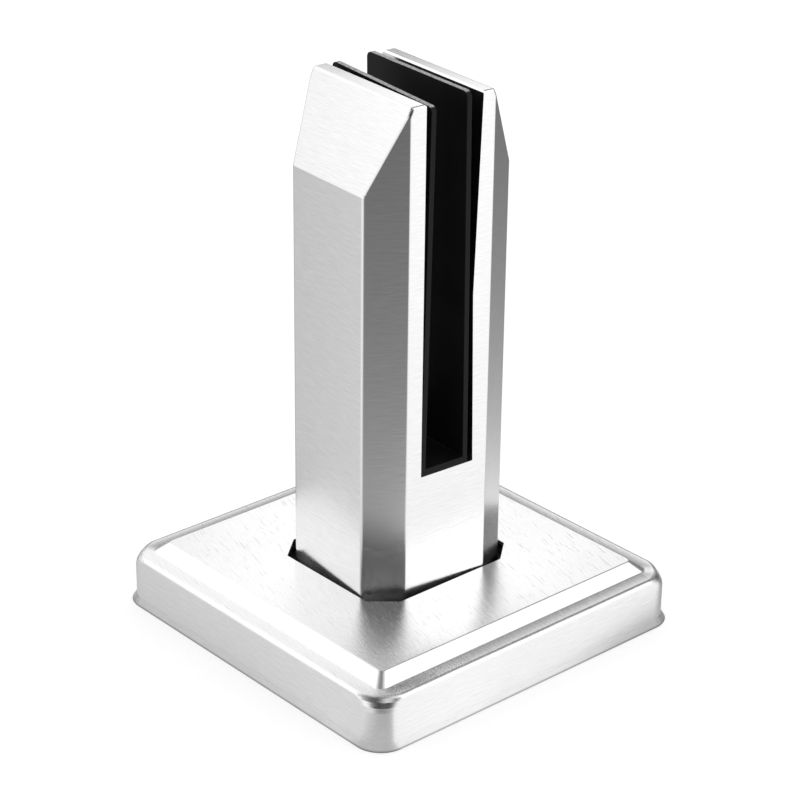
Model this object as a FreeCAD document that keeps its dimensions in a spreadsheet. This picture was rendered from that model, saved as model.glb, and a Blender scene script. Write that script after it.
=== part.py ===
"""Glass panel clamp for a balustrade: a cast post with a lined slot, its base cover and its clamping parts.

Frame: +Z up, X along the glass, origin on the floor under the middle of the post. Millimetres.
"""
import FreeCAD, Part
import os
import re
import Sketcher

SIZES = {
    # Post: an eight-sided column whose two broad faces slope in towards the top
    "ColumnAcross": 43.6,
    "ColumnDepth": 49.4,
    "ChamferAcross": 6.15,
    "ChamferDepth": 10.7,
    "PostHeight": 160.5,
    "SlopeHeight": 24.0,
    "NearSlopeInset": 11.2,
    "FarSlopeInset": 10.9,
    "CornerRound": 1.2,
    "SlopeEdge": 0.9,
    # Slot for the glass, open at the top and at both ends
    "SlotFloor": 53.4,
    "SlotNear": 8.9,
    "SlotFar": 9.15,
    "SlotKnee": 8.0,
    "SlotKneeHeight": 103.3,
    "SlotFarTop": 9.95,
    "MouthBevel": 0.5,
    # Base plate, cast in one with the column
    "BaseWidth": 100.0,
    "BaseThickness": 8.0,
    "BaseCorner": 10.0,
    "BaseBevel": 1.0,
    "RootRound": 3.0,
    "AnchorSpacing": 76.0,
    "AnchorHole": 11.0,
    # Rubber channel in the slot
    "RubberThickness": 1.5,
    "RubberFloor": 2.0,
    "RubberEndGap": 0.1,
    "NearLegRise": 0.2,
    "NearLegFall": 1.4,
    "FarLegRise": 0.8,
    "RubberFootWidth": 13.2,
    "NearLegLean": 1.85,
    "FarLegLean": 1.25,
    "RubberCorner": 1.7,
    # Cover pressed from sheet
    "Sheet": 1.0,
    "BoltRoom": 9.5,
    "CoverRoom": 4.8,
    "LipHeight": 2.3,
    "LipFlare": 1.5,
    "LipCorner": 8.4,
    "LipBevel": 0.3,
    "ShoulderRound": 1.3,
    "CrownHeight": 4.0,
    "CrownGrowth": 5.4,
    "StepHeight": 3.1,
    "StepWidth": 3.4,
    "RimWidth": 5.2,
    "PlateauCorner": 1.6,
    "StepCorner": 2.2,
    "StepRound": 0.7,
    "HoleGapAcross": 1.75,
    "HoleGapDepth": 1.6,
    "HoleShiftAcross": -1.1,
    "HoleShiftDepth": 0.25,
    "HoleChamferAcross": 6.3,
    "HoleChamferDepth": 7.4,
    "CoverTurn": 3.8,
    "CoverShiftAcross": 0.7,
    "CoverShiftDepth": -0.15,
    # Clamping plate in a pocket of the far slot wall
    "PlateWidth": 29.4,
    "PlateHeight": 49.4,
    "PlateThickness": 3.0,
    "PlateCorner": 3.0,
    "PlateEdge": 0.4,
    "PlateBottom": 62.3,
    "PlateSetback": 0.3,
    "PlateClearance": 0.3,
    # Two set screws in the far wall, one above the other
    "ScrewRadius": 4.0,
    "ScrewClearance": 0.05,
    "BoreBevel": 0.4,
    "ScrewSink": 0.65,
    "ScrewBevel": 1.0,
    "SocketAcross": 4.0,
    "SocketDepth": 5.0,
    "ScrewSpacing": 24.0,
}

DOC = FreeCAD.newDocument("GlassPanelClamp")
SHEET = DOC.addObject("Spreadsheet::Sheet", "Sizes")
for row, (alias, value) in enumerate(SIZES.items(), start=1):
    SHEET.set(f"A{row}", alias)
    SHEET.set(f"B{row}", str(value))
    SHEET.setAlias(f"B{row}", alias)
DOC.recompute()

UP = FreeCAD.Vector(0, 0, 1)
QUARTER_TURN = 1.5707963267948966
FULL_TURN = 360
SAME = 0.01
CORNERS = ((1, 1), (-1, 1), (-1, -1), (1, -1))
CROWN_STEPS = 3
BAND_SHARE = 0.97

# Shared formulas: how far a cut runs past the shape, and the levels and half widths of the parts
MARGIN = "1"
THROUGH = "4 * PostHeight"
HALF_ACROSS = "ColumnAcross / 2"
HALF_DEPTH = "ColumnDepth / 2"
SLOPE_START = "PostHeight - SlopeHeight"
COVER_HEIGHT = "(BaseThickness + BoltRoom + Sheet)"
RIM_HEIGHT = f"({COVER_HEIGHT} - StepHeight)"
SKIRT_HALF = "(BaseWidth / 2 + CoverRoom + Sheet)"
SKIRT_CORNER = "(LipCorner - LipFlare)"
LIP_HALF = f"({SKIRT_HALF} + LipFlare)"
STEP_HALF = f"({SKIRT_HALF} - RimWidth)"
PLATEAU_HALF = f"({STEP_HALF} - StepWidth)"
HOLE_HALF_ACROSS = "ColumnAcross / 2 + HoleGapAcross"
HOLE_HALF_DEPTH = "ColumnDepth / 2 + HoleGapDepth"
PLATE_FRONT = "SlotFar + PlateSetback"
PLATE_BACK = "SlotFar + PlateSetback + PlateThickness"
PLATE_MIDDLE = "PlateBottom + PlateHeight / 2"
BORE_RADIUS = "ScrewRadius + ScrewClearance"
SCREW_LENGTH = f"({HALF_DEPTH} - ({PLATE_BACK}) - ScrewSink)"


def formula(text):
    """Turn each size name in a formula into a reference to its cell."""
    return re.sub(r"[A-Z]\w+", r"Sizes.\g<0>", text)


def bind(feature, path, text):
    """Bind one property of a feature to a formula of sizes."""
    feature.setExpression(path, formula(text))


def value_of(text):
    """Number that a formula of sizes gives now."""
    return float(SHEET.evalExpression(formula(text)))


def new_body(name):
    body = DOC.addObject("PartDesign::Body", name)
    body.Label = name
    return body


def new_sketch(body, name, plane, height="0"):
    """Sketch on an origin plane of its own body, raised by a formula of sizes."""
    sketch = body.newObject("Sketcher::SketchObject", name)
    support = [item for item in body.Origin.OriginFeatures if item.Role == plane]
    sketch.AttachmentSupport = [(support[0], "")]
    sketch.MapMode = "FlatFace"
    bind(sketch, "AttachmentOffset.Base.z", height)
    return sketch


def pin(sketch, geometry, point, across, up):
    """Hold one point of a sketch at two formulas of sizes, measured from its origin."""
    for kind, text in (("DistanceX", across), ("DistanceY", up)):
        number = sketch.addConstraint(Sketcher.Constraint(kind, -1, 1, geometry, point, value_of(text)))
        bind(sketch, f"Constraints[{number}]", text)


def draw_polygon(sketch, corners):
    """Closed outline of straight lines through corners, each a pair of formulas."""
    points = [FreeCAD.Vector(value_of(across), value_of(up), 0) for across, up in corners]
    first = sketch.GeometryCount
    count = len(points)
    for index, point in enumerate(points):
        sketch.addGeometry(Part.LineSegment(point, points[(index + 1) % count]), False)
    for index in range(count):
        following = first + (index + 1) % count
        sketch.addConstraint(Sketcher.Constraint("Coincident", first + index, 2, following, 1))
    for index, (across, up) in enumerate(corners):
        pin(sketch, first + index, 1, across, up)


def draw_circle(sketch, across, up, radius):
    centre = FreeCAD.Vector(value_of(across), value_of(up), 0)
    circle = Part.Circle(centre, UP, value_of(radius))
    number = sketch.addGeometry(circle, False)
    pin(sketch, number, 3, across, up)
    held = sketch.addConstraint(Sketcher.Constraint("Radius", number, value_of(radius)))
    bind(sketch, f"Constraints[{held}]", radius)


def draw_rounded(sketch, half_across, half_up, radius):
    """Rectangle about the sketch's middle with four round corners."""
    size = value_of(radius)
    arcs = []
    centres = []
    for turn, (side_x, side_y) in enumerate(CORNERS):
        across = f"{side_x} * ({half_across} - ({radius}))"
        up = f"{side_y} * ({half_up} - ({radius}))"
        centre = FreeCAD.Vector(value_of(across), value_of(up), 0)
        start = turn * QUARTER_TURN
        arc = Part.ArcOfCircle(Part.Circle(centre, UP, size), start, start + QUARTER_TURN)
        arcs.append(sketch.addGeometry(arc, False))
        centres.append((across, up))
    for index, arc in enumerate(arcs):
        following = arcs[(index + 1) % len(arcs)]
        begin = sketch.getPoint(arc, 2)
        end = sketch.getPoint(following, 1)
        line = sketch.addGeometry(Part.LineSegment(begin, end), False)
        sketch.addConstraint(Sketcher.Constraint("Tangent", arc, 2, line, 1))
        sketch.addConstraint(Sketcher.Constraint("Tangent", line, 2, following, 1))
    for arc, (across, up) in zip(arcs, centres):
        pin(sketch, arc, 3, across, up)
        held = sketch.addConstraint(Sketcher.Constraint("Radius", arc, size))
        bind(sketch, f"Constraints[{held}]", radius)


def pad(body, name, sketch, length):
    feature = body.newObject("PartDesign::Pad", name)
    feature.Profile = sketch
    bind(feature, "Length", length)
    return feature


def pad_both_ways(body, name, sketch, length):
    feature = pad(body, name, sketch, length)
    feature.SideType = "Symmetric"
    return feature


def pocket_both_ways(body, name, sketch, length):
    feature = body.newObject("PartDesign::Pocket", name)
    feature.Profile = sketch
    feature.SideType = "Symmetric"
    bind(feature, "Length", length)
    return feature


def loft(body, kind, name, sections):
    feature = body.newObject(kind, name)
    feature.Profile = sections[0]
    feature.Sections = sections[1:]
    feature.Ruled = True
    return feature


def round_edges(body, name, radius, chosen, kind="PartDesign::Fillet", amount="Radius"):
    """Round (or bevel) those edges of the body's shape so far that a test picks out."""
    DOC.recompute()
    base = body.Tip
    edges = [f"Edge{n}" for n, edge in enumerate(base.Shape.Edges, start=1) if chosen(edge)]
    feature = body.newObject(kind, name)
    feature.Base = (base, edges)
    bind(feature, amount, radius)
    return feature


def spans(edge):
    """Sizes of an edge's box along X, Y and Z."""
    box = edge.BoundBox
    return box.XLength, box.YLength, box.ZLength


def level(edge, height):
    """Whether an edge lies wholly at one height."""
    box = edge.BoundBox
    return abs(box.ZMin - height) < SAME and abs(box.ZMax - height) < SAME


def within(edge, half):
    """Whether an edge lies within a square of this half width about the middle."""
    box = edge.BoundBox
    return max(abs(box.XMin), abs(box.XMax), abs(box.YMin), abs(box.YMax)) < half + SAME


def octagon(half_across, half_depth, cut_across, cut_depth):
    """Eight corners of a rectangle with its corners cut off."""
    inner_across = f"({half_across} - {cut_across})"
    inner_depth = f"({half_depth} - {cut_depth})"
    corners = []
    for side_x, side_y in CORNERS:
        beside = (f"{side_x} * ({half_across})", f"{side_y} * {inner_depth}")
        above = (f"{side_x} * {inner_across}", f"{side_y} * ({half_depth})")
        corners += [beside, above] if side_x * side_y > 0 else [above, beside]
    return corners


def make_spigot_body():
    """Post and base plate, one casting."""
    body = new_body("spigot_body")

    plate = new_sketch(body, "BaseOutline", "XY_Plane")
    draw_rounded(plate, "BaseWidth / 2", "BaseWidth / 2", "BaseCorner")
    pad(body, "BasePlate", plate, "BaseThickness")
    top = value_of("BaseThickness")
    round_edges(body, "BaseEdge", "BaseBevel", lambda edge: level(edge, top), "PartDesign::Chamfer", "Size")

    column = new_sketch(body, "ColumnOutline", "XY_Plane")
    draw_polygon(column, octagon(HALF_ACROSS, HALF_DEPTH, "ChamferAcross", "ChamferDepth"))
    pad(body, "Column", column, "PostHeight")
    tall = value_of("PostHeight - BaseThickness") - SAME
    round_edges(body, "ColumnCorners", "CornerRound", lambda edge: spans(edge)[2] > tall)
    reach = value_of(HALF_DEPTH)
    round_edges(body, "Root", "RootRound", lambda edge: level(edge, top) and within(edge, reach))

    slopes = new_sketch(body, "SlopeOutline", "YZ_Plane")
    for side, inset in ((-1, "NearSlopeInset"), (1, "FarSlopeInset")):
        lean = f"({inset} / SlopeHeight)"
        draw_polygon(slopes, [
            (f"{side} * ({HALF_DEPTH} + {lean} * {MARGIN})", f"{SLOPE_START} - {MARGIN}"),
            (f"{side} * ({HALF_DEPTH} - {inset} - {lean} * {MARGIN})", f"PostHeight + {MARGIN}"),
            (f"{side} * ({HALF_DEPTH} + {lean} * {MARGIN})", f"PostHeight + {MARGIN}"),
        ])
    pocket_both_ways(body, "Slopes", slopes, THROUGH)
    foot = value_of(SLOPE_START)
    round_edges(body, "SlopeEdges", "SlopeEdge", lambda edge: edge.BoundBox.ZMin > foot - SAME)

    slot = new_sketch(body, "SlotOutline", "YZ_Plane")
    draw_polygon(slot, [
        ("-SlotNear", "SlotFloor"),
        ("SlotFar", "SlotFloor"),
        ("SlotKnee", "SlotKneeHeight"),
        ("SlotFarTop", "PostHeight - MouthBevel"),
        ("SlotFarTop + MouthBevel", "PostHeight"),
        ("SlotFarTop + MouthBevel", f"PostHeight + {MARGIN}"),
        ("-SlotNear - MouthBevel", f"PostHeight + {MARGIN}"),
        ("-SlotNear - MouthBevel", "PostHeight"),
        ("-SlotNear", "PostHeight - MouthBevel"),
    ])
    pocket_both_ways(body, "Slot", slot, THROUGH)

    seat = new_sketch(body, "PocketOutline", "YZ_Plane")
    draw_polygon(seat, [
        ("0", "PlateBottom - PlateClearance"),
        (PLATE_BACK, "PlateBottom - PlateClearance"),
        (PLATE_BACK, "PlateBottom + PlateHeight + PlateClearance"),
        ("0", "PlateBottom + PlateHeight + PlateClearance"),
    ])
    pocket_both_ways(body, "PlatePocket", seat, "PlateWidth + 2 * PlateClearance")

    bores = new_sketch(body, "BoreOutline", "XZ_Plane", f"-({HALF_DEPTH}) - {MARGIN}")
    for side in (-1, 1):
        draw_circle(bores, "0", f"{PLATE_MIDDLE} + {side} * ScrewSpacing / 2", BORE_RADIUS)
    bored = body.newObject("PartDesign::Pocket", "ScrewBores")
    bored.Profile = bores
    bored.Reversed = True
    bind(bored, "Length", f"{HALF_DEPTH} + {MARGIN}")
    face = value_of(HALF_DEPTH)
    bore = 2 * value_of(BORE_RADIUS)
    round_edges(body, "BoreMouths", "BoreBevel",
                lambda edge: abs(edge.BoundBox.YMin - face) < SAME and abs(spans(edge)[0] - bore) < SAME,
                "PartDesign::Chamfer", "Size")

    anchors = new_sketch(body, "AnchorOutline", "XY_Plane")
    for side_x, side_y in CORNERS:
        across = f"{side_x} * AnchorSpacing / 2"
        up = f"{side_y} * AnchorSpacing / 2"
        draw_circle(anchors, across, up, "AnchorHole / 2")
    pocket_both_ways(body, "AnchorHoles", anchors, "4 * BaseThickness")
    return body


def make_slot_liner():
    """One rubber channel: a floor and two legs that lean towards each other, the near one cut at a slant."""
    body = new_body("slot_liner")
    inner_near = "-(SlotNear - RubberThickness)"
    inner_far = f"({inner_near} + RubberFootWidth)"
    floor_top = "(SlotFloor + RubberFloor)"
    near_top = "(PostHeight + NearLegRise)"
    far_top = "(PostHeight + FarLegRise)"
    half_length = "(ColumnAcross / 2 - RubberEndGap)"
    profile = new_sketch(body, "ChannelOutline", "YZ_Plane")
    draw_polygon(profile, [
        ("-SlotNear", "SlotFloor"),
        (f"{inner_far} + RubberThickness", "SlotFloor"),
        (f"{inner_far} + RubberThickness", floor_top),
        (f"{inner_far} + RubberThickness - FarLegLean", far_top),
        (f"{inner_far} - FarLegLean", far_top),
        (inner_far, floor_top),
        (inner_near, floor_top),
        (f"{inner_near} + NearLegLean", near_top),
        (f"{inner_near} + NearLegLean - RubberThickness", near_top),
        ("-SlotNear", floor_top),
    ])
    pad_both_ways(body, "Channel", profile, f"2 * {half_length}")

    slant = new_sketch(body, "SlantOutline", "XZ_Plane")
    draw_polygon(slant, [
        (f"-{half_length}", near_top),
        (half_length, f"{near_top} - NearLegFall"),
        (f"{half_length} + {MARGIN}", f"{near_top} - NearLegFall"),
        (f"{half_length} + {MARGIN}", f"{near_top} + {MARGIN}"),
        (f"-{half_length}", f"{near_top} + {MARGIN}"),
    ])
    cut = body.newObject("PartDesign::Pocket", "NearLegTop")
    cut.Profile = slant
    cut.Reversed = True
    bind(cut, "Length", "SlotNear")
    end = value_of(half_length)
    legs = value_of(SLOPE_START)
    round_edges(body, "LegCorners", "RubberCorner",
                lambda edge: edge.BoundBox.ZMin > legs and spans(edge)[2] < SAME
                and abs(abs(edge.CenterOfMass.x) - end) < SAME)
    return body


def make_base_cover():
    """Cover pressed from sheet: lip, skirt with crowned corners, rim, sloped step and plateau with a hole."""
    body = new_body("base_cover")
    lip_wall = "Sheet * sqrt(1 + (LipFlare / LipHeight)^2)"
    step_wall = "Sheet * tan(atan(StepHeight / StepWidth) / 2)"

    def square(name, height, half, corner):
        sketch = new_sketch(body, name, "XY_Plane", height)
        draw_rounded(sketch, half, half, corner)
        return sketch

    def crown(kind, name, top, inset):
        """Upper end of the skirt, where the corners grow rounder towards the rim."""
        sections = []
        for step in range(CROWN_STEPS + 1):
            share = f"{step} / {CROWN_STEPS}"
            height = f"{top} - CrownHeight * (1 - {share})"
            corner = f"{SKIRT_CORNER} - {inset} + CrownGrowth * ({share})^2"
            sections.append(square(f"{name}{step}", height, f"{SKIRT_HALF} - {inset}", corner))
        loft(body, kind, name, sections)

    loft(body, "PartDesign::AdditiveLoft", "Lip", [
        square("LipFoot", "0", LIP_HALF, "LipCorner"),
        square("LipHead", "LipHeight", SKIRT_HALF, SKIRT_CORNER),
    ])
    pad(body, "Skirt", square("SkirtOutline", "LipHeight", SKIRT_HALF, SKIRT_CORNER),
        f"{RIM_HEIGHT} - CrownHeight - LipHeight")
    crown("PartDesign::AdditiveLoft", "Crown", RIM_HEIGHT, "0")
    round_edges(body, "LipEdge", "LipBevel", lambda edge: level(edge, 0), "PartDesign::Chamfer", "Size")
    rim = value_of(RIM_HEIGHT)
    band = f"{BAND_SHARE} * CrownHeight / {CROWN_STEPS}"
    round_edges(body, "Shoulder", f"min(ShoulderRound; {band})", lambda edge: level(edge, rim))
    loft(body, "PartDesign::AdditiveLoft", "Step", [
        square("StepFoot", RIM_HEIGHT, STEP_HALF, "StepCorner"),
        square("StepHead", COVER_HEIGHT, PLATEAU_HALF, "PlateauCorner"),
    ])
    plateau = value_of(COVER_HEIGHT)
    foot = value_of(STEP_HALF)
    round_edges(body, "StepEdges", "StepRound",
                lambda edge: level(edge, plateau) or level(edge, rim) and within(edge, foot))
    loft(body, "PartDesign::SubtractiveLoft", "LipHollow", [
        square("LipHollowFoot", "0", f"{LIP_HALF} - {lip_wall}", f"LipCorner - {lip_wall}"),
        square("LipHollowHead", "LipHeight", f"{SKIRT_HALF} - Sheet", f"{SKIRT_CORNER} - Sheet"),
    ])
    hollow = body.newObject("PartDesign::Pocket", "SkirtHollow")
    hollow.Profile = square("HollowOutline", "LipHeight", f"{SKIRT_HALF} - Sheet", f"{SKIRT_CORNER} - Sheet")
    hollow.Reversed = True
    bind(hollow, "Length", f"{RIM_HEIGHT} - LipHeight - Sheet - CrownHeight")
    crown("PartDesign::SubtractiveLoft", "CrownHollow", f"({RIM_HEIGHT} - Sheet)", "Sheet")
    loft(body, "PartDesign::SubtractiveLoft", "StepHollow", [
        square("StepHollowFoot", f"{RIM_HEIGHT} - Sheet", f"{STEP_HALF} - {step_wall}", "StepCorner"),
        square("StepHollowHead", f"{COVER_HEIGHT} - Sheet", f"{PLATEAU_HALF} - {step_wall}", "PlateauCorner"),
    ])
    hole = new_sketch(body, "HoleOutline", "XY_Plane", COVER_HEIGHT)
    bind(hole, "AttachmentOffset.Base.x", "HoleShiftAcross")
    bind(hole, "AttachmentOffset.Base.y", "HoleShiftDepth")
    draw_polygon(hole, octagon(HOLE_HALF_ACROSS, HOLE_HALF_DEPTH, "HoleChamferAcross", "HoleChamferDepth"))
    pocket_both_ways(body, "ColumnHole", hole, f"2 * {COVER_HEIGHT}")
    bind(body, "Placement.Base.x", "CoverShiftAcross")
    bind(body, "Placement.Base.y", "CoverShiftDepth")
    bind(body, "Placement.Rotation.Angle", "CoverTurn * 1 deg")
    return body


def make_pressure_plate():
    """Flat plate that the set screws push towards the glass."""
    body = new_body("pressure_plate")
    outline = new_sketch(body, "PlateOutline", "XZ_Plane")
    draw_rounded(outline, "PlateWidth / 2", "PlateHeight / 2", "PlateCorner")
    plate = pad(body, "Plate", outline, "PlateThickness")
    plate.Reversed = True
    round_edges(body, "PlateEdges", "PlateEdge", lambda edge: spans(edge)[1] < SAME,
                "PartDesign::Chamfer", "Size")
    bind(body, "Placement.Base.y", PLATE_FRONT)
    bind(body, "Placement.Base.z", PLATE_MIDDLE)
    return body


def make_set_screw(name, side):
    """Headless screw with a flat point and a hexagon socket, pointing to the glass."""
    body = new_body(name)
    profile = new_sketch(body, "ScrewProfile", "YZ_Plane")
    draw_polygon(profile, [
        ("0", "0"),
        (SCREW_LENGTH, "0"),
        (SCREW_LENGTH, "ScrewRadius - ScrewBevel / 2"),
        (f"{SCREW_LENGTH} - ScrewBevel / 2", "ScrewRadius"),
        ("ScrewBevel", "ScrewRadius"),
        ("0", "ScrewRadius - ScrewBevel"),
    ])
    turned = body.newObject("PartDesign::Revolution", "Shank")
    turned.Profile = profile
    turned.ReferenceAxis = (profile, ["H_Axis"])
    turned.Angle = FULL_TURN
    socket = new_sketch(body, "SocketOutline", "XZ_Plane", f"-{SCREW_LENGTH}")
    corner = "SocketAcross / sqrt(3)"
    half_flat = "SocketAcross / 2"
    draw_polygon(socket, [
        (f"{corner}", "0"),
        (f"{corner} / 2", half_flat),
        (f"-{corner} / 2", half_flat),
        (f"-{corner}", "0"),
        (f"-{corner} / 2", f"-{half_flat}"),
        (f"{corner} / 2", f"-{half_flat}"),
    ])
    hexagon = body.newObject("PartDesign::Pocket", "Socket")
    hexagon.Profile = socket
    hexagon.Reversed = True
    bind(hexagon, "Length", "SocketDepth")
    bind(body, "Placement.Base.y", PLATE_BACK)
    bind(body, "Placement.Base.z", f"{PLATE_MIDDLE} + {side} * ScrewSpacing / 2")
    return body


def check_and_write(bodies):
    """Stop on any failed feature or bad shape, then write each piece to its file."""
    DOC.recompute()
    for item in DOC.Objects:
        if "Invalid" in item.State or "Error" in item.State:
            raise RuntimeError(f"{item.Name} did not build: {item.State}")
    for body in bodies:
        shape = body.Shape
        if shape.isNull() or not shape.isValid() or len(shape.Solids) != 1:
            raise RuntimeError(f"{body.Label} is not one valid solid")
    os.makedirs("parts", exist_ok=True)
    for body in bodies:
        body.Shape.exportStep(f"parts/{body.Label}.step")
        box = body.Shape.BoundBox
        print(body.Label, "volume", round(body.Shape.Volume, 1), "box", box)


check_and_write([
    make_spigot_body(),
    make_slot_liner(),
    make_base_cover(),
    make_pressure_plate(),
    make_set_screw("set_screw_upper", 1),
    make_set_screw("set_screw_lower", -1),
])
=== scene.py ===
"""Looks of the glass panel clamp: brushed stainless post and cover, black rubber channel."""

import math

import bpy
from mathutils import Matrix, Vector


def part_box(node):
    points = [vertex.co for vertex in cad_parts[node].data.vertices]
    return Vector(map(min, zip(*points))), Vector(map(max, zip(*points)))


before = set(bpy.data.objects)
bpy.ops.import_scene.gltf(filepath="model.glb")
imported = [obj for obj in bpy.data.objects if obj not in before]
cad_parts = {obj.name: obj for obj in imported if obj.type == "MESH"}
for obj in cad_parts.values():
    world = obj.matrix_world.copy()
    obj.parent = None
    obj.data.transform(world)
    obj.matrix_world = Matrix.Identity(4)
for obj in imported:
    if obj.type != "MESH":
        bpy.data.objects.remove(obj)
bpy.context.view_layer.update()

MILLIMETRE = 0.001
UP = (0, 0, 1)
WHITE = (1, 1, 1, 1)

# Camera, fitted to the photograph, with its angles in degrees
IMAGE_SIDE = 800
FOCAL_PIXELS = 2567.7
SENSOR_WIDTH = 36.0
AZIMUTH = 52.17
ELEVATION = 25.31
ROLL = 0.67
AIM_HEIGHT = 18.5 * MILLIMETRE
AIM_PIXEL = (397.07, 549.73)
AIM_DISTANCE = 738.3 * MILLIMETRE
CLIP_START = 10 * MILLIMETRE
CLIP_END = 20

# Studio that reflections show, as brightness by compass direction. The lowest ring reaches up to the
# first band, and each band begins with the elevations where it starts and is reached, in degrees
LOWEST_RING = (
    (-180, 0.40), (-165, 0.54), (-150, 0.64), (-142, 0.71), (-132, 0.82), (-100, 1.15), (-78, 1.10),
    (-62, 0.60), (-48, 0.24), (-35, 0.14), (-22, 0.12), (-8, 0.18), (5, 0.60), (18, 1.16), (38, 1.30),
    (60, 1.24), (76, 0.80), (87, 0.30), (98, 0.09), (115, 0.12), (142, 0.26), (160, 0.32),
)
BANDS = (
    (-14, -3, (
        (-180, 0.86), (-165, 1.06), (-142, 1.16), (-120, 1.22), (-100, 1.30), (-78, 1.20), (-64, 0.70),
        (-52, 0.15), (-38, 0.06), (-20, 0.06), (-5, 0.12), (8, 0.55), (20, 1.15), (38, 1.30), (60, 1.20),
        (78, 0.60), (92, 0.14), (115, 0.14), (135, 0.20), (150, 0.30), (165, 0.60),
    )),
    (11, 20, (
        (-180, 1.20), (-142, 1.56), (-118, 1.05), (-95, 0.50), (-78, 0.15), (-64, 0.05), (-50, 0.02),
        (-22, 0.02), (-8, 0.03), (8, 0.22), (22, 1.45), (38, 2.05), (60, 1.65), (78, 0.60), (90, 0.20),
        (104, 0.42), (116, 0.85), (128, 1.28), (142, 1.38), (160, 1.10),
    )),
    (33, 44, (
        (-180, 1.25), (-150, 1.30), (-125, 1.05), (-100, 0.45), (-75, 0.15), (-55, 0.05), (-22, 1.00),
        (0, 1.00), (20, 1.25), (40, 1.70), (62, 1.40), (80, 0.55), (95, 0.24), (115, 0.26), (132, 0.38),
        (145, 0.80), (155, 1.15), (168, 1.25),
    )),
    (52, 66, (
        (-180, 0.90), (-140, 0.60), (-100, 0.30), (-60, 0.16), (-20, 0.25), (20, 0.80), (60, 1.00),
        (90, 0.60), (120, 0.45), (150, 0.60),
    )),
)
ZENITH_BAND = (74, 86)
ZENITH = 0.35

# Even brightness of the studio for all other light on the object
ROOM = 0.85

# A curve node holds values up to 1, so brightness is drawn in it at this scale
CURVE_SCALE = 4

# White table that reflections show until it fades into the studio, as brightness by direction
# from a point inside the cover's near corner
TABLE_CORNER = (49 * MILLIMETRE, -49 * MILLIMETRE, 0)
TABLE_RING = (
    (-180, 0.44), (-172, 0.69), (-150, 0.82), (-115, 0.82), (-95, 0.82), (-75, 0.72), (-50, 0.60),
    (-20, 0.58), (6, 0.60), (13, 0.72), (21, 1.06), (40, 1.14), (80, 1.10), (88, 0.50), (94, 0.45),
    (99, 1.00), (106, 1.00), (125, 0.60), (150, 0.40), (172, 0.34),
)
TABLE_REACH = 85 * MILLIMETRE
TABLE_FADE = 1.2

# Floor, as the camera sees it and as it lights the object
FLOOR_RADIUS = 4.0
FLOOR_SIDES = 96
FLOOR_COLOUR = 0.60
FLOOR_GLOW = 0.55

# Strokes of the brush: length, width in brush lines, seed and detail of the noise that draws them
FINE_STROKES = (6 * MILLIMETRE, 1, 0.0, 3)
BROAD_STROKES = (45 * MILLIMETRE, 5, 7.3, 2)
SCRATCH_STROKES = (9 * MILLIMETRE, 0.7, 3.1, 1)
STROKE_ROUGHNESS = 0.6
BROAD_SHARE = 0.1

# Values between which most of a noise lies
NOISE_MIDDLE = (0.35, 0.65)

# Steel: a pair is the start and end of a ramp, and a tone is a share of the steel's own tone
LEVEL_FACE = (0.78, 0.92)
SCRATCH_NOISE = (0.68, 0.76)
SCRATCH_STRENGTH = 0.25
SCRATCH_TONE = 0.8
SCRATCH_DEPTH = 0.7
CLOUD_SCALE = 30
CLOUD_DETAIL = 3
CLOUD_NOISE = (0.5, 0.8)
CLOUD_STRENGTH = 0.3
CLOUD_TONE = 0.92
CLOUD_ROUGHNESS = 0.10
GRAIN_ROUGHNESS = 0.12
# Tone that painted shade darkens the steel to
PAINTED_SHADE_TONE = 0.04
UPRIGHT_RELIEF = 0.5

# Post: crown of its faces, and the heights at which its dull casting skin with painted shade and its paler
# root end
POST_CROWN = 2.2
SHADED_SKIN_END = (15.5 * MILLIMETRE, 18 * MILLIMETRE)
ROOT_END = (10 * MILLIMETRE, 12 * MILLIMETRE)
ROOT_SHADE_SHARE = 0.7

# Cover, as it sits on the post
COVER_LOW, COVER_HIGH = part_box("base_cover")
COVER_MIDDLE = ((COVER_LOW.x + COVER_HIGH.x) / 2, (COVER_LOW.y + COVER_HIGH.y) / 2, 0)
COVER_TOP = COVER_HIGH.z
COVER_TURN = math.radians(3.8)

# Rim of the cover: it starts at the foot of the step, STEP_HALF from the cover's middle, and its
# normal leans by the first value there and by the second from RIM_WIDTH outwards
STEP_HALF = 50.6 * MILLIMETRE
STEP_HEIGHT = 3.1 * MILLIMETRE
RIM_LEANS = (0.24, 0.10)
RIM_WIDTH = 4 * MILLIMETRE
RIM_EVEN = (0.2 * MILLIMETRE, 0.4 * MILLIMETRE)
RIM_FACE = (0.9, 0.97)
MITRE_BLUR = 5 * MILLIMETRE

# Top and lip of the cover: how much their normals lean, and the distances from the middle, depths
# and heights between which that changes
TOP_CROWN = 2.5
TOP_REACH = (34 * MILLIMETRE, 70 * MILLIMETRE)
TOP_DEPTH = (0.1 * MILLIMETRE, 0.3 * MILLIMETRE)
LIP_LEAN = -0.95
LIP_HEIGHT = (3.5 * MILLIMETRE, 4.5 * MILLIMETRE)
# Painted shade along the lip's bottom edge: its strength, and the heights over which it fades
LIP_SHADE = 0.8
LIP_SHADE_HEIGHT = (0.1 * MILLIMETRE, 0.7 * MILLIMETRE)
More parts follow.
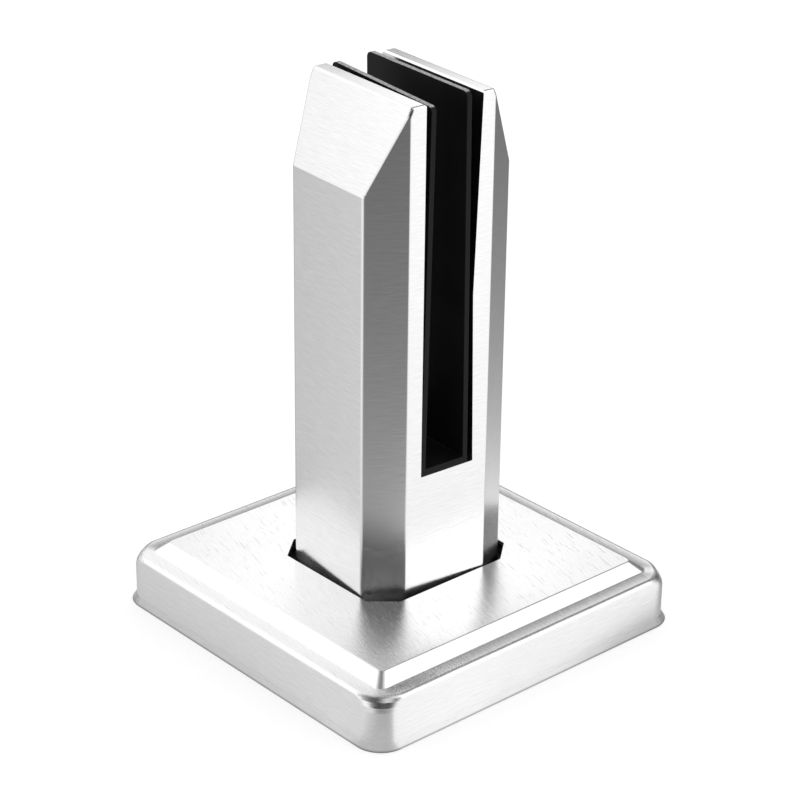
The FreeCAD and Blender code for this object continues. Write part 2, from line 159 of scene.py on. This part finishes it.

# Rubber: greys, roughness, the painted highlight along its edges and the painted light on its top faces
RUBBER_GREYS = (0.003, 0.006)
# Pale greys painted on the rubber's top faces as painted light
LIT_TOP_GREYS = (0.28, 0.55)
# Painted highlight along the rubber's edges: its grey and strength, the radius and samples of the rounding
# it follows, and where on that rounding it lies
EDGE_HIGHLIGHT_GREY = 0.05
EDGE_HIGHLIGHT_STRENGTH = 0.5
EDGE_ROUND_RADIUS = 0.35 * MILLIMETRE
EDGE_ROUND_SAMPLES = 4
EDGE_HIGHLIGHT_ROUND = (0.72, 0.97)
TOP_FACE_RANGE = (0.8, 0.95)
TOP_HEIGHT_RANGE = (150 * MILLIMETRE, 155 * MILLIMETRE)
RUBBER_GRAIN_SCALE = 1400
RUBBER_GRAIN_DETAIL = 3
RUBBER_CLOUD_SCALE = 60
RUBBER_ROUGHNESS = 0.36
RUBBER_CLOUD_ROUGHNESS = 0.2
RUBBER_TOP_ROUGHNESS = 0.3
RUBBER_SHINE = 0.14
RUBBER_BUMP = 0.3
RUBBER_RELIEF = 0.03 * MILLIMETRE


def make_camera():
    """Camera that shows the point above the origin at AIM_HEIGHT on AIM_PIXEL."""
    azimuth = math.radians(AZIMUTH)
    elevation = math.radians(ELEVATION)
    roll = math.radians(ROLL)
    back = Vector((math.sin(azimuth) * math.cos(elevation), -math.cos(azimuth) * math.cos(elevation),
                   math.sin(elevation)))
    level_right = Vector((math.cos(azimuth), math.sin(azimuth), 0))
    level_up = back.cross(level_right)
    right = math.cos(roll) * level_right + math.sin(roll) * level_up
    up = back.cross(right)
    middle = IMAGE_SIDE / 2
    aside = (AIM_PIXEL[0] - middle) * AIM_DISTANCE / FOCAL_PIXELS
    above = (middle - AIM_PIXEL[1]) * AIM_DISTANCE / FOCAL_PIXELS
    place = Vector((0, 0, AIM_HEIGHT)) + back * AIM_DISTANCE - right * aside - up * above
    data = bpy.data.cameras.new("camera")
    data.sensor_fit = "HORIZONTAL"
    data.sensor_width = SENSOR_WIDTH
    data.lens = FOCAL_PIXELS / IMAGE_SIDE * SENSOR_WIDTH
    data.clip_start = CLIP_START
    data.clip_end = CLIP_END
    camera = bpy.data.objects.new("camera", data)
    bpy.context.scene.collection.objects.link(camera)
    turn = Matrix((right, up, back)).transposed().to_4x4()
    camera.matrix_world = Matrix.Translation(place) @ turn
    bpy.context.scene.camera = camera


class Nodes:
    """Small helper that adds and joins shader nodes."""

    def __init__(self, tree):
        self.tree = tree
        tree.nodes.clear()

    def add(self, kind, inputs=None, **settings):
        node = self.tree.nodes.new(kind)
        for name, value in settings.items():
            setattr(node, name, value)
        for name, value in (inputs or {}).items():
            self.feed(node, name, value)
        return node

    def feed(self, node, name, value):
        """Join a socket to a node or another socket, or set it to a constant."""
        socket = node.inputs[name]
        if isinstance(value, bpy.types.NodeSocket):
            self.tree.links.new(value, socket)
        elif isinstance(value, bpy.types.Node):
            self.tree.links.new(value.outputs[0], socket)
        else:
            socket.default_value = value

    def math(self, operation, first, second=0.0, third=0.0, clamp=False):
        node = self.add("ShaderNodeMath", {0: first, 1: second, 2: third},
                        operation=operation, use_clamp=clamp)
        return node.outputs[0]

    def vector(self, operation, first, second=(0, 0, 0)):
        """Vector arithmetic; operations that give a number return that number."""
        node = self.add("ShaderNodeVectorMath", {0: first, 1: second}, operation=operation)
        return node.outputs["Value" if operation in ("DOT_PRODUCT", "LENGTH") else "Vector"]

    def scaled(self, vector, factor):
        node = self.add("ShaderNodeVectorMath", {0: vector, "Scale": factor}, operation="SCALE")
        return node.outputs["Vector"]

    def ramp(self, factor, low, high, from_low, from_high, smooth=False):
        """Map a value to a range, held at both ends."""
        node = self.add("ShaderNodeMapRange", {"Value": factor, "From Min": from_low, "From Max": from_high,
                                               "To Min": low, "To Max": high},
                        interpolation_type="SMOOTHSTEP" if smooth else "LINEAR")
        return node.outputs[0]

    def mix(self, factor, first, second):
        """Mix two numbers."""
        return self.add("ShaderNodeMix", {0: factor, 2: first, 3: second}).outputs[0]

    def blend(self, factor, first, second):
        """Mix two vectors."""
        return self.add("ShaderNodeMix", {0: factor, 4: first, 5: second}, data_type="VECTOR").outputs[1]

    def tint(self, factor, first, second):
        """Mix two colours."""
        return self.add("ShaderNodeMix", {0: factor, 6: first, 7: second}, data_type="RGBA").outputs[2]

    def parts(self, vector):
        return self.add("ShaderNodeSeparateXYZ", {0: vector}).outputs

    def height(self, vector):
        """Upward part of a vector."""
        return self.parts(vector)[2]

    def joined(self, x, y, z):
        return self.add("ShaderNodeCombineXYZ", {0: x, 1: y, 2: z}).outputs[0]

    def noise(self, vector, scale=1.0, detail=2.0, roughness=0.5):
        node = self.add("ShaderNodeTexNoise", {"Vector": vector, "Scale": scale, "Detail": detail,
                                               "Roughness": roughness})
        return node.outputs[0]

    def ring(self, x, y, stops):
        """Brightness by compass direction of (x, y), as a soft curve that closes on itself."""
        turn = self.math("MULTIPLY_ADD", self.math("ARCTAN2", y, x), 0.5 / math.pi, 0.5)
        curve = self.add("ShaderNodeFloatCurve", {"Value": turn})
        points = curve.mapping.curves[0].points
        closed = list(stops) + [(180, stops[0][1])]
        places = [((angle + 180) / 360, value / CURVE_SCALE) for angle, value in closed]
        points[0].location = places[0]
        points[1].location = places[-1]
        for place in places[1:-1]:
            points.new(*place)
        curve.mapping.update()
        return self.math("MULTIPLY", curve.outputs[0], CURVE_SCALE)


def grey(level):
    return (level, level, level, 1)


def make_world():
    """White studio: plain white to the camera, bright panels with darker gaps in reflections."""
    world = bpy.data.worlds.new("studio")
    world.use_nodes = True
    bpy.context.scene.world = world
    n = Nodes(world.node_tree)
    seen = n.add("ShaderNodeLightPath")
    x, y, z = n.parts(n.add("ShaderNodeTexCoord").outputs["Generated"])
    elevation = n.math("MULTIPLY", n.math("ARCSINE", z), 180 / math.pi)
    shine = n.ring(x, y, LOWEST_RING)
    for start, end, stops in BANDS:
        shine = n.mix(n.ramp(elevation, 0, 1, start, end, smooth=True), shine, n.ring(x, y, stops))
    shine = n.mix(n.ramp(elevation, 0, 1, *ZENITH_BAND, smooth=True), shine, ZENITH)
    white = n.add("ShaderNodeBackground", {"Color": WHITE, "Strength": 1.0})
    panels = n.add("ShaderNodeBackground", {"Color": WHITE, "Strength": shine})
    room = n.add("ShaderNodeBackground", {"Color": WHITE, "Strength": ROOM})
    lit = n.add("ShaderNodeMixShader", {0: seen.outputs["Is Glossy Ray"], 1: room, 2: panels})
    pick = n.add("ShaderNodeMixShader", {0: seen.outputs["Is Camera Ray"], 1: lit, 2: white})
    n.add("ShaderNodeOutputWorld", {"Surface": pick})


def new_material(name):
    material = bpy.data.materials.new(name)
    material.use_nodes = True
    return material, Nodes(material.node_tree)


def make_floor():
    """Pale floor that keeps the shadow; in reflections, a white table that fades into the studio."""
    bpy.ops.mesh.primitive_circle_add(vertices=FLOOR_SIDES, radius=FLOOR_RADIUS, fill_type="NGON")
    floor = bpy.context.object
    floor.name = "floor"
    material, n = new_material("pale_floor")
    seen = n.add("ShaderNodeLightPath")
    paint = n.add("ShaderNodeBsdfDiffuse", {"Color": grey(FLOOR_COLOUR)})
    glow = n.add("ShaderNodeEmission", {"Color": WHITE, "Strength": FLOOR_GLOW})
    ground = n.add("ShaderNodeAddShader", {0: paint, 1: glow})
    place = n.add("ShaderNodeTexCoord").outputs["Object"]
    x, y = n.parts(n.vector("SUBTRACT", place, TABLE_CORNER))[:2]
    away = n.math("MAXIMUM", n.vector("LENGTH", place), TABLE_REACH)
    fade = n.math("POWER", n.math("DIVIDE", TABLE_REACH, away), TABLE_FADE)
    table = n.add("ShaderNodeEmission", {"Color": WHITE, "Strength": n.ring(x, y, TABLE_RING)})
    beyond = n.add("ShaderNodeBsdfTransparent")
    mirrored = n.add("ShaderNodeMixShader", {0: fade, 1: beyond, 2: table})
    pick = n.add("ShaderNodeMixShader", {0: seen.outputs["Is Glossy Ray"], 1: ground, 2: mirrored})
    n.add("ShaderNodeOutputMaterial", {"Surface": pick})
    floor.data.materials.append(material)


def brushed_steel(name, tone, roughness, anisotropy, brush, line, streak, relief, lean=None, painted_shade=None):
    """Stainless steel with fine brush lines: level on upright faces, in direction brush on level ones.

    line is the width of a brush line, streak the share by which the tone varies, and relief the
    depth of the bump, with lengths in metres. lean gives a vector that tips the surface's normal
    a little, and the last argument gives a factor by which painted shade darkens the colour.
    """
    material, n = new_material(name)
    place = n.add("ShaderNodeTexCoord").outputs["Object"]
    geometry = n.add("ShaderNodeNewGeometry")
    face = geometry.outputs["True Normal"]
    flat = n.ramp(n.math("ABSOLUTE", n.height(face)), 0, 1, *LEVEL_FACE, smooth=True)
    level_line = n.vector("NORMALIZE", n.vector("CROSS_PRODUCT", face, UP))
    angle = math.radians(brush)
    along_brush = (math.cos(angle), math.sin(angle), 0)
    across_brush = (-math.sin(angle), math.cos(angle), 0)
    along = n.mix(flat, n.vector("DOT_PRODUCT", place, level_line),
                  n.vector("DOT_PRODUCT", place, along_brush))
    across = n.mix(flat, n.height(place), n.vector("DOT_PRODUCT", place, across_brush))

    def strokes(length, lines, seed, detail):
        """Noise in strokes of a length along the brush and as wide as a number of brush lines."""
        spot = n.joined(n.math("DIVIDE", along, length), n.math("DIVIDE", across, lines * line), seed)
        return n.noise(spot, detail=detail, roughness=STROKE_ROUGHNESS)

    grain = n.mix(BROAD_SHARE, strokes(*FINE_STROKES), strokes(*BROAD_STROKES))
    scratch = n.ramp(strokes(*SCRATCH_STROKES), 0, 1, *SCRATCH_NOISE)
    cloud = n.noise(place, CLOUD_SCALE, detail=CLOUD_DETAIL)

    colour = n.tint(n.ramp(grain, 0, 1, *NOISE_MIDDLE), grey(tone * (1 - streak)), grey(tone * (1 + streak)))
    colour = n.tint(n.math("MULTIPLY", scratch, SCRATCH_STRENGTH), colour, grey(tone * SCRATCH_TONE))
    colour = n.tint(n.ramp(cloud, 0, CLOUD_STRENGTH, *CLOUD_NOISE), colour, grey(tone * CLOUD_TONE))
    # Painted shade: the colour darkens where the given factor is high
    if painted_shade:
        colour = n.tint(painted_shade(n, place), colour, grey(tone * PAINTED_SHADE_TONE))

    rough = n.math("MULTIPLY_ADD", grain, GRAIN_ROUGHNESS, roughness - GRAIN_ROUGHNESS / 2)
    rough = n.math("MULTIPLY_ADD", n.math("SUBTRACT", cloud, 0.5), CLOUD_ROUGHNESS, rough, clamp=True)

    normal = geometry.outputs["Normal"]
    if lean:
        normal = n.vector("NORMALIZE", n.vector("ADD", normal, lean(n, place, geometry)))
    height = n.math("MULTIPLY", n.math("MULTIPLY_ADD", scratch, -SCRATCH_DEPTH, grain),
                    n.mix(flat, UPRIGHT_RELIEF, 1))
    bump = n.add("ShaderNodeBump", {"Strength": 1.0, "Distance": relief, "Height": height, "Normal": normal})

    upright = n.vector("SUBTRACT", UP, n.scaled(face, n.height(face)))
    tangent = n.vector("NORMALIZE", n.blend(flat, upright, across_brush))
    shader = n.add("ShaderNodeBsdfPrincipled", {"Base Color": colour, "Metallic": 1.0, "Roughness": rough,
                                                "Anisotropic": anisotropy, "Normal": bump,
                                                "Tangent": tangent})
    n.add("ShaderNodeOutputMaterial", {"Surface": shader})
    return material


def post_lean(n, place, geometry):
    """Faces of the post are very slightly crowned by polishing."""
    return n.vector("MULTIPLY", place, (POST_CROWN, POST_CROWN, 0))


def post_skin_and_painted_shade(n, place):
    """Under the cover the post is painted nearly black, as painted shade where the cover hides it, on its
    dull casting skin: darkest just below the cover's top and a little paler at its root.
    """
    # Painted shade: under the cover the steel is darkened nearly to black
    height = n.height(place)
    return n.math("MULTIPLY", n.ramp(height, 1, 0, *SHADED_SKIN_END), n.ramp(height, ROOT_SHADE_SHARE, 1, *ROOT_END))


def rim_lean(n, place, geometry):
    """The cover's rim falls outwards by a few degrees, most near the foot of its step."""
    from_middle = n.vector("SUBTRACT", place, COVER_MIDDLE)
    side_x = (math.cos(COVER_TURN), math.sin(COVER_TURN), 0)
    side_y = (-math.sin(COVER_TURN), math.cos(COVER_TURN), 0)
    x = n.vector("DOT_PRODUCT", from_middle, side_x)
    y = n.vector("DOT_PRODUCT", from_middle, side_y)
    wide = n.math("ABSOLUTE", x)
    deep = n.math("ABSOLUTE", y)
    out_x = n.scaled(side_x, n.math("SIGN", x))
    out_y = n.scaled(side_y, n.math("SIGN", y))
    nearer_x = n.ramp(n.math("SUBTRACT", wide, deep), 0, 1, -MITRE_BLUR, MITRE_BLUR, smooth=True)
    outward = n.blend(nearer_x, out_y, out_x)
    beyond = n.math("SUBTRACT", n.math("MAXIMUM", wide, deep), STEP_HALF)
    slope = n.ramp(beyond, *RIM_LEANS, 0, RIM_WIDTH)
    off_level = n.math("ABSOLUTE", n.math("SUBTRACT", n.height(place), COVER_TOP - STEP_HEIGHT))
    on_rim = n.math("MULTIPLY", n.ramp(off_level, 1, 0, *RIM_EVEN),
                    n.ramp(n.height(geometry.outputs["True Normal"]), 0, 1, *RIM_FACE))
    return n.scaled(outward, n.math("MULTIPLY", slope, on_rim))


def top_lean(n, place):
    """The cover's top is slightly crowned, more so towards its edges."""
    depth = n.math("SUBTRACT", COVER_TOP, n.height(place))
    outward = n.vector("MULTIPLY", place, (1, 1, 0))
    crown = n.ramp(n.vector("LENGTH", outward), 0, TOP_CROWN, *TOP_REACH)
    return n.scaled(outward, n.math("MULTIPLY", crown, n.ramp(depth, 1, 0, *TOP_DEPTH)))


def lip_lean(n, place, geometry):
    """The cover's lip shades almost as upright as its skirt, so that it curves out softly."""
    tip = n.height(geometry.outputs["Normal"])
    return n.joined(0, 0, n.math("MULTIPLY", tip, n.ramp(n.height(place), LIP_LEAN, 0, *LIP_HEIGHT)))


def cover_lean(n, place, geometry):
    """Leans of the cover's rim, top and lip together."""
    pressed = n.vector("ADD", rim_lean(n, place, geometry), top_lean(n, place))
    return n.vector("ADD", pressed, lip_lean(n, place, geometry))


def cover_lip_painted_shade(n, place):
    """Painted shade along the bottom edge of the cover's lip, where it meets the floor."""
    return n.ramp(n.height(place), LIP_SHADE, 0, *LIP_SHADE_HEIGHT)


def black_rubber(name):
    """Matt black rubber with painted light: its edges painted paler as highlights, and its trimmed top faces
    painted pale grey as lit tops and made rougher.
    """
    material, n = new_material(name)
    place = n.add("ShaderNodeTexCoord").outputs["Object"]
    face = n.add("ShaderNodeNewGeometry").outputs["True Normal"]
    grain = n.noise(place, RUBBER_GRAIN_SCALE, detail=RUBBER_GRAIN_DETAIL)
    cloud = n.noise(place, RUBBER_CLOUD_SCALE)
    # Painted light: the rubber's top faces are painted pale grey as if lit, with a fine grain
    painted_lit_top = n.math("MULTIPLY", n.ramp(n.height(face), 0, 1, *TOP_FACE_RANGE),
                 n.ramp(n.height(place), 0, 1, *TOP_HEIGHT_RANGE))
    soft = n.add("ShaderNodeBevel", {"Radius": EDGE_ROUND_RADIUS}, samples=EDGE_ROUND_SAMPLES)
    # Painted highlight: edges are painted paler where the rounded rubber would catch the light
    painted_edge_highlight = n.ramp(n.vector("DOT_PRODUCT", soft, face), 1, 0, *EDGE_HIGHLIGHT_ROUND)

    skin = n.tint(n.ramp(cloud, 0, 1, *NOISE_MIDDLE), *map(grey, RUBBER_GREYS))
    lit_top_colour = n.tint(n.ramp(grain, 0, 1, *NOISE_MIDDLE), *map(grey, LIT_TOP_GREYS))
    colour = n.tint(n.math("MULTIPLY", painted_edge_highlight, EDGE_HIGHLIGHT_STRENGTH), skin, grey(EDGE_HIGHLIGHT_GREY))
    colour = n.tint(painted_lit_top, colour, lit_top_colour)

    rough = n.math("MULTIPLY_ADD", cloud, RUBBER_CLOUD_ROUGHNESS, RUBBER_ROUGHNESS)
    rough = n.math("MULTIPLY_ADD", painted_lit_top, RUBBER_TOP_ROUGHNESS, rough)
    bump = n.add("ShaderNodeBump", {"Strength": RUBBER_BUMP, "Distance": RUBBER_RELIEF, "Height": grain,
                                    "Normal": soft})
    shader = n.add("ShaderNodeBsdfPrincipled", {"Base Color": colour, "Roughness": rough, "Normal": bump,
                                                "Specular IOR Level": RUBBER_SHINE})
    n.add("ShaderNodeOutputMaterial", {"Surface": shader})
    return material


def dress(node, material):
    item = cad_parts[node]
    item.data.materials.clear()
    item.data.materials.append(material)


make_camera()
make_world()
make_floor()

dress("spigot_body", brushed_steel(
    "post_steel", tone=0.77, roughness=0.23, anisotropy=0.5, brush=0, line=0.34 * MILLIMETRE,
    streak=0.05, relief=0.015 * MILLIMETRE, lean=post_lean, painted_shade=post_skin_and_painted_shade))
dress("base_cover", brushed_steel(
    "cover_steel", tone=0.80, roughness=0.25, anisotropy=0.5, brush=-11.8, line=0.34 * MILLIMETRE,
    streak=0.05, relief=0.028 * MILLIMETRE, lean=cover_lean, painted_shade=cover_lip_painted_shade))
dress("slot_liner", black_rubber("liner_rubber"))
dress("pressure_plate", brushed_steel(
    "plate_steel", tone=0.62, roughness=0.36, anisotropy=0.3, brush=90, line=0.6 * MILLIMETRE,
    streak=0.1, relief=0.02 * MILLIMETRE))
screw_steel = brushed_steel(
    "screw_steel", tone=0.55, roughness=0.3, anisotropy=0.2, brush=0, line=0.25 * MILLIMETRE,
    streak=0.12, relief=0.02 * MILLIMETRE)
for screw in ("set_screw_upper", "set_screw_lower"):
    dress(screw, screw_steel)

bpy.context.scene.view_settings.view_transform = "Standard"
